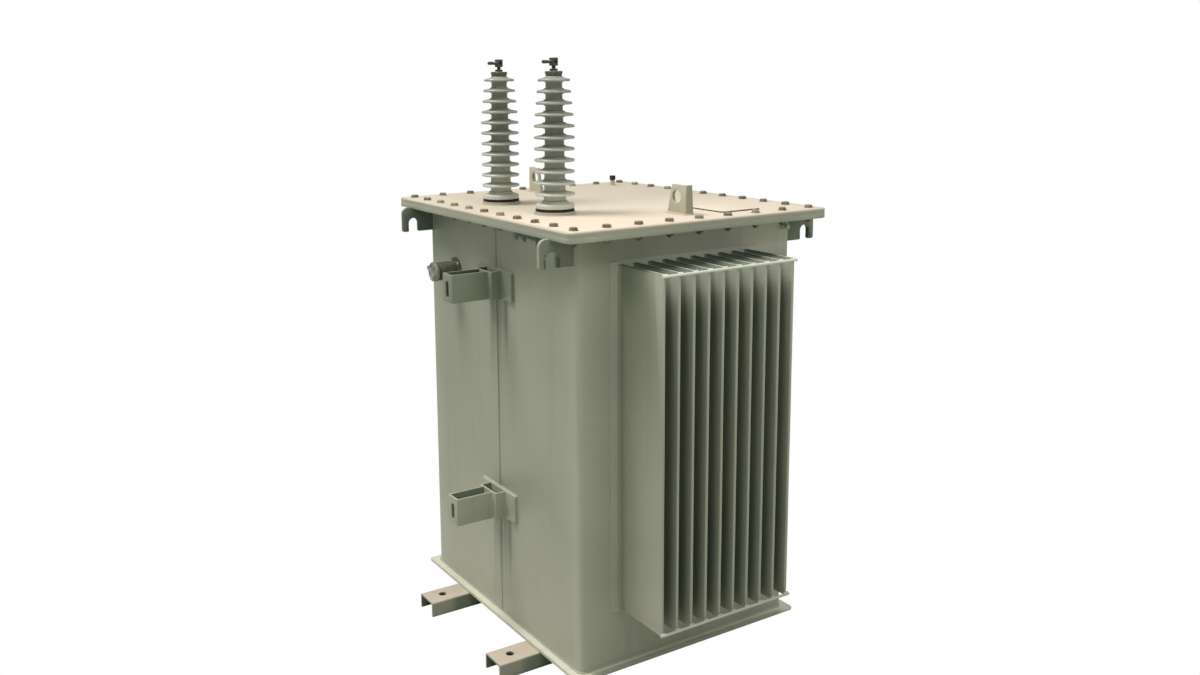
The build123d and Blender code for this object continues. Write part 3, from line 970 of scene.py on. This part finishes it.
bracket_web, slot_half, slot_foot, slot_head = 0.006, 0.009, 0.0115, 0.0175
pad_paint = bracket_paint("pad_enamel")
for level in ("lower", "upper"):
    low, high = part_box("bracket_pad_" + level)
    outline = oblong(low.x, low.z, high.x, high.z, 0.003)
    pad = put(slab(outline, high.y - low.y, 0.001), (0, high.y, 0), *to_pole)
    fit("pad_" + level, pad, pad_paint, "tank_paint", "bracket_pad_" + level)
    ring_weld("pad_weld_" + level, [(p.x, tank_low.y, p.y) for p in outline], 0.003, pad_paint)
    for piece in ("saddle", "hanger"):
        node = "bracket_{}_{}".format(piece, level)
        low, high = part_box(node)
        folded = slab(rounded([
            (low.x, high.y, 0.0008), (low.x, low.y, 0.004), (high.x, low.y, 0.004), (high.x, high.y, 0.0008),
            (high.x - bracket_web, high.y, 0.0008), (high.x - bracket_web, low.y + bracket_web, 0.003),
            (low.x + bracket_web, low.y + bracket_web, 0.003), (low.x + bracket_web, high.y, 0.0008),
        ]), high.z - low.z, 0.0009)
        put(folded, (0, 0, low.z))
        if piece == "hanger":
            slot_low, slot_high = low.z + slot_foot, high.z - slot_head
            slot = slab(oblong(-slot_half, slot_low, slot_half, slot_high, slot_half - 0.0001, 8), 0.03, 0.0)
            folded = bored(folded, put(slot, (0, low.y + 0.02, 0), *to_pole))
        name = "{}_{}_enamel".format(piece, level)
        channel_paint = bracket_paint(name, high.x - bracket_web, low.y + bracket_web)
        fit("{}_{}".format(piece, level), folded, channel_paint, "tank_paint", node)
        stands = [[(x, high.y, low.z + 0.001), (x, high.y, high.z - 0.001)] for x in (low.x, high.x)]
        weld("{}_weld_{}".format(piece, level), stands, 0.0026, channel_paint)

# Tap changer: a flange screwed to the wall, a ribbed moulded hub, and a knob on a spindle that turns
# in it. The hub is dark moulded phenolic and the knob cast alloy, gone grey.
def patchy(name, scale, detail, ends, fresh, worn, gloss, metal=0.0, metal_lost=0.0, grain=0.0, sheen=0.5):
    """Metal, moulding or rubber worn in patches, where it is duller and looks less like metal."""
    material, shader, at = new_finish(name)
    wear = fade(clouds(at, scale, detail), *ends)
    at.feed(shader, {"Base Color": tint(wear, fresh, worn), "Roughness": gloss[0] + wear * gloss[1]})
    at.feed(shader, {"Metallic": metal, "Specular IOR Level": sheen})
    if metal_lost:
        at.feed(shader, {"Metallic": metal - wear * metal_lost})
    if grain:
        at.feed(shader, {"Normal": bumped(clouds(at, 900.0, 3.0) * grain)})
    return material


def ribbed(bm, beyond, depth, count):
    """A turned piece with so many hollows cut down its rim, beyond a radius."""
    for vertex in bm.verts:
        if math.hypot(vertex.co.x, vertex.co.y) > beyond:
            turn = math.atan2(vertex.co.y, vertex.co.x)
            shrink = 1 - depth * (0.5 - 0.5 * math.cos(turn * count))
            vertex.co.x *= shrink
            vertex.co.y *= shrink
    return bm


low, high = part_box("tap_changer_housing")
tap_x, tap_z = (low.x + high.x) / 2, (low.z + high.z) / 2
hub_length, bore_radius, bore_deep = high.y - low.y, 0.007, 0.045
hub = [
    (0, 0), (0.0355, 0), (0.036, 0.0006), (0.036, 0.0042), (0.0352, 0.005),
    (0.0275, 0.0052), (0.0262, 0.0064),
]
for k in range(6):
    start = 0.009 + k * 0.0078
    hub += [(0.0255, start), (0.0268, start + 0.001), (0.0268, start + 0.0045), (0.0255, start + 0.0055)]
hub += [
    (0.0262, hub_length - 0.0025), (0.0255, hub_length - 0.0004), (0.0245, hub_length),
    (bore_radius, hub_length), (bore_radius, hub_length - bore_deep), (0, hub_length - bore_deep),
]
hub_colours = (0.075, 0.072, 0.045, 1), (0.14, 0.135, 0.095, 1)
moulding = patchy("hub_moulding", 60.0, 4.0, (0.4, 0.75), *hub_colours, (0.5, 0.2))
housing = put(turned(hub, 48), (tap_x, high.y, tap_z), *to_pole)
fit("tap_hub", housing, moulding, "housing_metal", "tap_changer_housing")

zinc_colours = (0.62, 0.60, 0.54, 1), (0.42, 0.40, 0.34, 1)
screw_zinc = patchy("screw_zinc", 300.0, 3.0, (0.35, 0.7), *zinc_colours, (0.3, 0.2), 0.8)
pan_head = [
    (0, 0), (0.0038, 0), (0.0038, 0.0012), (0.0030, 0.0023), (0.0016, 0.0028), (0.0016, 0.0016), (0, 0.0016),
]
screw_circle = 0.0315
spots = []
for k in range(4):
    t = math.pi / 4 + k * math.pi / 2
    spots.append((screw_circle * math.cos(t), screw_circle * math.sin(t), 0))
screws = scatter(turned(pan_head, 20), spots, any_turn, screw_zinc)
put(screws, (tap_x, high.y - 0.0048, tap_z), *to_pole)
fit("tap_screws", screws, screw_zinc, "terminal_metal")

low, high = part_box("tap_changer_knob")
alloy_colours = (0.33, 0.325, 0.28, 1), (0.2, 0.2, 0.17, 1)
alloy_wear, alloy_gloss = (0.35, 0.7), (0.36, 0.2)
knob_alloy = patchy("knob_alloy", 90.0, 5.0, alloy_wear, *alloy_colours, alloy_gloss, 0.55, grain=0.00008)
knob_back, spindle_back, disc_depth, disc_radius = 0.407, 0.362, 0.012, 0.0288
disc = [
    (0.0069, 0), (0.0265, 0), (0.0282, 0.001), (disc_radius, 0.003), (disc_radius, 0.0085), (0.0272, 0.0112),
    (0.0245, disc_depth), (0.0215, disc_depth), (0.0205, disc_depth - 0.0012), (0, disc_depth - 0.0012),
]
spindle = [(0, spindle_back), (0.00685, spindle_back), (0.0069, spindle_back + 0.0005)]
dial = turned(spindle + [(reach, knob_back + z) for reach, z in disc], 60)
put(ribbed(dial, disc_radius - 0.0008, 0.022, 30), (tap_x, 0, tap_z), *to_pole)
lean = math.radians(36)
handle = slab(oblong(-0.025, -0.0042, 0.025, 0.0042, 0.004, 6), 0.0085, 0.0014)
handle_across, handle_along = (math.cos(lean), 0, -math.sin(lean)), (math.sin(lean), 0, math.cos(lean))
put(handle, (tap_x, -knob_back - disc_depth + 0.0012, tap_z), handle_across, handle_along)
fit("tap_knob", joined(dial, handle), knob_alloy, "knob_metal", "tap_changer_knob", body="tap_changer_knob")

# Bushings: dark clamps on threaded studs, iron caps, glazed porcelain with eleven sheds, and a cast
# foot clamped down on a rubber ring. Each stands on a turned seat welded to the cover.
glaze, shader, at = new_finish("porcelain_glaze")
shade = fade(clouds(at, 22.0, 3.0), 0.3, 0.75)
pinholes = fade(clouds(at, 260.0, 2.0, seed=2.0), 0.66, 0.74)
body_colour = tint(shade, (0.37, 0.37, 0.315, 1), (0.32, 0.32, 0.27, 1))
# Paler toward the bottom: painted light bounced up from the cover.
body_colour = tint(fall(axes(at)[2], 1.2, 1.45), body_colour, (0.60, 0.61, 0.53, 1))
# Upward faces tinted darker: painted shade.
body_colour = tint(fade(facing_of(at)[2], 0.2, 0.9) * 0.5, body_colour, (0.21, 0.21, 0.17, 1))
body_colour = tint(pinholes * 0.3, body_colour, (0.2, 0.19, 0.15, 1))
at.feed(shader, {"Base Color": body_colour, "Roughness": 0.3 + shade * 0.12, "Coat Weight": 0.18})
at.feed(shader, {"Normal": bumped(clouds(at, 70.0, 2.0) * 0.0003)})
rubber_colours = (0.016, 0.0105, 0.006, 1), (0.045, 0.032, 0.019, 1)
rubber = patchy("black_rubber", 140.0, 4.0, (0.45, 0.75), *rubber_colours, (0.7, 0.2), sheen=0.25)
collar_paint = paint("collar_enamel", (0.55, 0.53, 0.44, 1), (0.50, 0.48, 0.40, 1), 0.4)
# The seats' darker paint is partly dirt and partly painted shade under the bushings' feet.
seat_paint = paint("seat_enamel", (0.36, 0.33, 0.26, 1), (0.32, 0.295, 0.235, 1), 0.5, dust=0.25)
iron_colours = (0.16, 0.15, 0.115, 1), (0.085, 0.078, 0.055, 1)
cap_iron = patchy("cap_iron", 130.0, 4.0, (0.35, 0.7), *iron_colours, (0.5, 0.2), 0.4, 0.2)
bronze_colours = (0.115, 0.105, 0.08, 1), (0.05, 0.045, 0.034, 1)
bronze = patchy("clamp_bronze", 170.0, 4.0, (0.35, 0.7), *bronze_colours, (0.42, 0.25), 0.5, 0.3)


def around(first, second, radius, count):
    """Pairs of places, evenly round a circle."""
    turns = [2 * math.pi * k / count for k in range(count)]
    return [(first + radius * math.cos(t), second + radius * math.sin(t)) for t in turns]


shed_count, shed_first, shed_pitch, shed_full, shed_least = 11, 0.024, 0.0294, 0.053, 0.042
clamp_low, clamp_x, clamp_y, wire_radius = 0.013, 0.010, 0.008, 0.004
for hand in ("left", "right"):
    low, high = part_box("bushing_seat_" + hand)
    x, y = (low.x + high.x) / 2, (low.y + high.y) / 2
    tall, wide = high.z - low.z, (high.x - low.x) / 2
    seat = turned([
        (0, 0), (wide, 0), (wide, tall - 0.0015), (wide - 0.0005, tall - 0.0004),
        (wide - 0.0015, tall), (0, tall),
    ], 56)
    fit("seat_" + hand, put(seat, (x, y, low.z)), seat_paint, "cover_paint", "bushing_seat_" + hand)
    seat_foot = [(*pair, low.z) for pair in around(x, y, wide, 56)]
    ring_weld("seat_weld_" + hand, seat_foot, 0.0028, seat_paint, "cover_paint")

    low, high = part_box("bushing_gasket_" + hand)
    tall, wide = high.z - low.z + 0.006, (high.x - low.x) / 2
    ring = turned([
        (0, 0), (wide - 0.001, 0), (wide - 0.0002, tall * 0.15), (wide, tall * 0.5),
        (wide - 0.0002, tall * 0.85), (wide - 0.001, tall), (0, tall),
    ], 56)
    put(ring, (x, y, low.z - 0.003))
    fit("foot_ring_" + hand, ring, rubber, "gasket_rubber", "bushing_gasket_" + hand)

    low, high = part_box("bushing_collar_" + hand)
    tall, wide = high.z - low.z, (high.x - low.x) / 2
    foot = turned([
        (0, 0.0025), (wide - 0.0012, 0.0025), (wide - 0.0003, 0.0034), (wide - 0.0003, tall - 0.0065),
        (wide - 0.0012, tall - 0.0045), (wide - 0.0035, tall - 0.0032), (wide - 0.0075, tall - 0.0026),
        (0.0385, tall - 0.0018), (0.0365, tall), (0.034, tall), (0.033, tall - 0.001), (0, tall - 0.001),
    ], 56)
    put(foot, (x, y, low.z))
    fit("foot_" + hand, foot, collar_paint, "collar_paint", "bushing_collar_" + hand)

    low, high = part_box("bushing_porcelain_" + hand)
    tall, thick, thin = high.z - low.z, 0.029, 0.021
    core = [(0, 0), (0.0335, 0), (0.0335, 0.0035), (thick + 0.0008, 0.006)]
    for k in range(1, 24):
        core.append((thick + (thin - thick) * k / 24, tall * k / 24))
    core += [(thin, tall - 0.004), (thin - 0.001, tall - 0.0012), (thin - 0.003, tall), (0, tall)]
    skirt = turned([
        (0, 0.0070), (0.0285, 0.0074), (0.0312, 0.0050), (0.034, 0.0038), (0.044, 0.0022), (0.0500, 0.0012),
        (0.0520, 0.0002), (0.0529, -0.0014), (shed_full, -0.0030), (0.0524, -0.0046), (0.0508, -0.0056),
        (0.044, -0.0052), (0.034, -0.0052), (0.0312, -0.0064), (0.0285, -0.0088), (0, -0.0086),
    ], 56)
    places, spreads = [], []
    for k in range(shed_count):
        share = max(0.0, 1 - (shed_count - 1 - k) / 4)
        places.append((0, 0, shed_first + k * shed_pitch))
        spreads.append((shed_full + (shed_least - shed_full) * share) / shed_full)
    sheds = scatter(skirt, places, 0.0, glaze, spreads=spreads)
    body = put(joined(turned(core, 56), sheds), (x, y, low.z))
    fit("porcelain_" + hand, body, glaze, "porcelain", "bushing_porcelain_" + hand)

    low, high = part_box("bushing_cap_" + hand)
    tall, wide = high.z - low.z, (high.x - low.x) / 2
    cap = turned([
        (0, 0.0), (0.0205, 0.0), (0.021, 0.0006), (0.0212, 0.0065), (0.0222, 0.0085), (wide - 0.0003, 0.0098),
        (wide, 0.0108), (wide, tall - 0.0015), (wide - 0.0012, tall - 0.0002), (0.011, tall), (0, tall),
    ], 44)
    fit("cap_" + hand, put(cap, (x, y, low.z)), cap_iron, "cap_metal", "bushing_cap_" + hand)

    low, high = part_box("bushing_terminal_" + hand)
    stud = [(0, 0)]
    for k in range(9):
        stud += [(0.0055, 0.0003 + k * 0.0015), (0.0048, 0.0003 + k * 0.0015 + 0.00075)]
    stud += [(0.0048, 0.0145), (0, 0.0145)]
    clamp_tall = high.z - low.z - clamp_low
    wire_z = clamp_low + clamp_tall / 2
    block = slab(oblong(-clamp_x, -clamp_y, clamp_x, clamp_y, 0.002), clamp_tall, 0.0018)
    bore = turned([(0, -0.02), (wire_radius, -0.02), (wire_radius, 0.02), (0, 0.02)], 24)
    block = bored(put(block, (0, 0, clamp_low)), put(bore, (0, 0, wire_z), *to_right))
    screw = [(0, 0.007), (0.0045, 0.007)]
    for k in range(8):
        screw += [(0.0044, 0.0078 + k * 0.0016), (0.0037, 0.0086 + k * 0.0016)]
    screw += [(0.0045, 0.022), (0.0045, 0.0325), (0.0036, 0.034), (0, 0.034)]
    screw = put(turned(screw, 24), (0, 0, wire_z), *to_pole)
    jam = turned([(0, 0), (0.0098, 0), (0.0105, 0.0008), (0.0105, 0.005), (0.0098, 0.0058), (0, 0.0058)], 6)
    terminal = put(joined(turned(stud, 20), block, screw, put(jam, (0, 0, 0.0002))), (x, y, low.z))
    fit("terminal_" + hand, terminal, bronze, "terminal_metal", "bushing_terminal_" + hand)

# Filler: a short steel neck welded on the cover, where oil is poured in. A black plug, ribbed for the
# hand, screws into it.
low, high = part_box("filler_neck")
x, y, tall, wide = (low.x + high.x) / 2, (low.y + high.y) / 2, high.z - low.z, (high.x - low.x) / 2
neck = turned([(0, 0), (wide, 0), (wide, tall - 0.0005), (wide - 0.0005, tall), (0, tall)], 32)
fit("filler_pipe", put(neck, (x, y, low.z)), cover_paint, "cover_paint", "filler_neck")
neck_foot = [(*pair, low.z) for pair in around(x, y, wide, 24)]
ring_weld("filler_weld", neck_foot, 0.0022, cover_paint, "cover_paint", every=0.004)
low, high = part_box("filler_plug")
tall, wide = high.z - low.z, (high.x - low.x) / 2
plug = turned([
    (0, 0), (wide * 0.9, 0), (wide, 0.0015), (wide, tall - 0.0025), (wide * 0.88, tall), (0, tall),
], 48)
put(ribbed(plug, wide * 0.95, 0.06, 16), (x, y, low.z))
fit("filler_cap", plug, rubber, "plug_plastic", "filler_plug")

# Hand hole cover: a thin steel plate painted with the cover. It is bedded on black sealant, which
# shows as a line round its edge and also stands in for the shadow under the plate's edge.
low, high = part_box("hand_hole_cover")


def frame_of(gap, radius):
    """The hand hole cover's outline, drawn in by a gap."""
    return oblong(low.x + gap, low.y + gap, high.x - gap, high.y - gap, radius, 6)


hand_plate = put(slab(frame_of(0.0, 0.016), high.z - low.z - 0.002, 0.0008), (0, 0, low.z + 0.002))
bed = put(slab(frame_of(0.0006, 0.0155), 0.0022, 0.0003), (0, 0, low.z))
fit("hand_hole_plate", hand_plate, cover_paint, "cover_paint", "hand_hole_cover")
fit("hand_hole_seal", bed, rubber, "gasket_rubber")

# Earth boss: a turned boss welded to the wall near the top, with a plated screw and washer in it.
low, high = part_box("earth_boss")
y, z, wide, reach = (low.y + high.y) / 2, (low.z + high.z) / 2, (high.y - low.y) / 2, high.x - tank_high.x
boss_face = reach - 0.0082
boss = turned([
    (0, -0.001), (wide, -0.001), (wide, boss_face - 0.0013), (wide - 0.001, boss_face), (0, boss_face),
], 32)
fit("earth_stub", put(boss, (tank_high.x, y, z), *to_right), tank_paint, "tank_paint", "earth_boss")
earth_screw = joined(washer(0.010), put(hexagon(0.013, 0.0062, 0.0015), (0, 0, washer_thick)))
put(earth_screw, (tank_high.x + boss_face, y, z), *to_right)
fit("earth_screw", earth_screw, screw_zinc, "terminal_metal")
boss_foot = [(tank_high.x, *pair) for pair in around(y, z, wide, 28)]
ring_weld("earth_weld", boss_foot, 0.0026, tank_paint, every=0.005)
